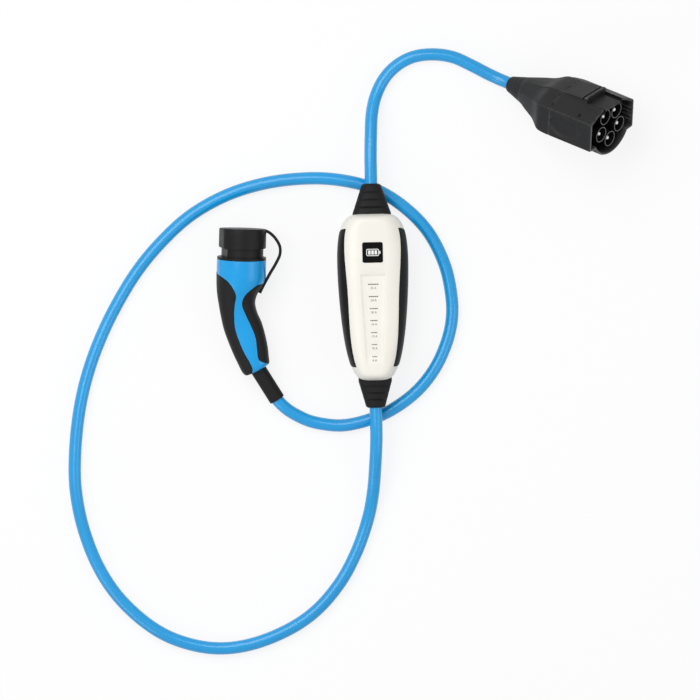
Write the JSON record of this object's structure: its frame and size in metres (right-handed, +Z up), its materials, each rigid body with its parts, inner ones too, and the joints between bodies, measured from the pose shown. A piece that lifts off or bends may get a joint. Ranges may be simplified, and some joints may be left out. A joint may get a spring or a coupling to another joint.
{
  "type": "portable electric vehicle charger",
  "caption": "Portable electric vehicle charger: a tapered control box with rubber side strips, a heavy cable to a capped vehicle connector, and a short cable to a round supply plug.",
  "frame": {"origin": "centre of the control box's footprint, boots included, on the surface that it lies on", "axes": "+Y along the box from its lower boot to its upper boot, +Z up out of the front face, +X to the right"},
  "size_m": [0.771, 0.812, 0.148],
  "materials": {
    "case_cream": "smooth satin moulding",
    "strip_black": "matt moulded rubber",
    "window_black": "glossy",
    "boot_black": "matt moulded rubber",
    "seal_grey": "soft cord",
    "board_green": "lacquered board",
    "steel": "plated",
    "relay_grey": "moulded",
    "copper_ring": "taped winding",
    "brick_black": "moulded",
    "block_green": "moulded",
    "light_white": "clear lens",
    "clamp_grey": "moulded",
    "handle_blue": "smooth satin moulding",
    "grip_black": "fine grain",
    "nose_black": "satin moulding",
    "contact_gold": "plated",
    "plug_black": "fine grain",
    "pin_nickel": "nickel plated",
    "cable_blue": "smooth jacket"
  },
  "bodies": {
    "charger": {"front_shell": "case_cream", "rear_shell": "case_cream", "case_gasket": "seal_grey", "left_strip": "strip_black", "right_strip": "strip_black", "status_window": "window_black", "upper_boot": "boot_black", "lower_boot": "boot_black", "main_board": "board_green", "board_screws": "steel", "relays": "relay_grey", "current_sensor": "copper_ring", "power_supply": "brick_black", "input_terminals": "block_green", "output_terminals": "block_green", "light_board": "board_green", "scale_lights": "light_white", "upper_clamp": "clamp_grey", "lower_clamp": "clamp_grey", "case_screws": "steel", "handle_top": "handle_blue", "handle_bottom": "handle_blue", "back_grip": "grip_black", "finger_grip": "grip_black", "connector_nose": "nose_black", "power_contacts": "contact_gold", "signal_contacts": "contact_gold", "cap_strap": "boot_black", "handle_boot": "boot_black", "handle_clamp": "clamp_grey", "plug_front": "plug_black", "plug_rear": "plug_black", "plug_seal": "seal_grey", "plug_boot": "boot_black", "pin_carrier": "plug_black", "pin_cups": "plug_black", "contact_pins": "pin_nickel", "supply_cable": "cable_blue", "charging_cable": "cable_blue"},
    "cap": {"dust_cap": "nose_black"}
  },
  "joints": [
    {"name": "cap_pull", "type": "slide", "parent": "charger", "child": "cap", "axis": [0.0468, 0.9927, 0.1111], "range_m": [0, 0.03], "deforming": ["cap_strap"]}
  ]
}
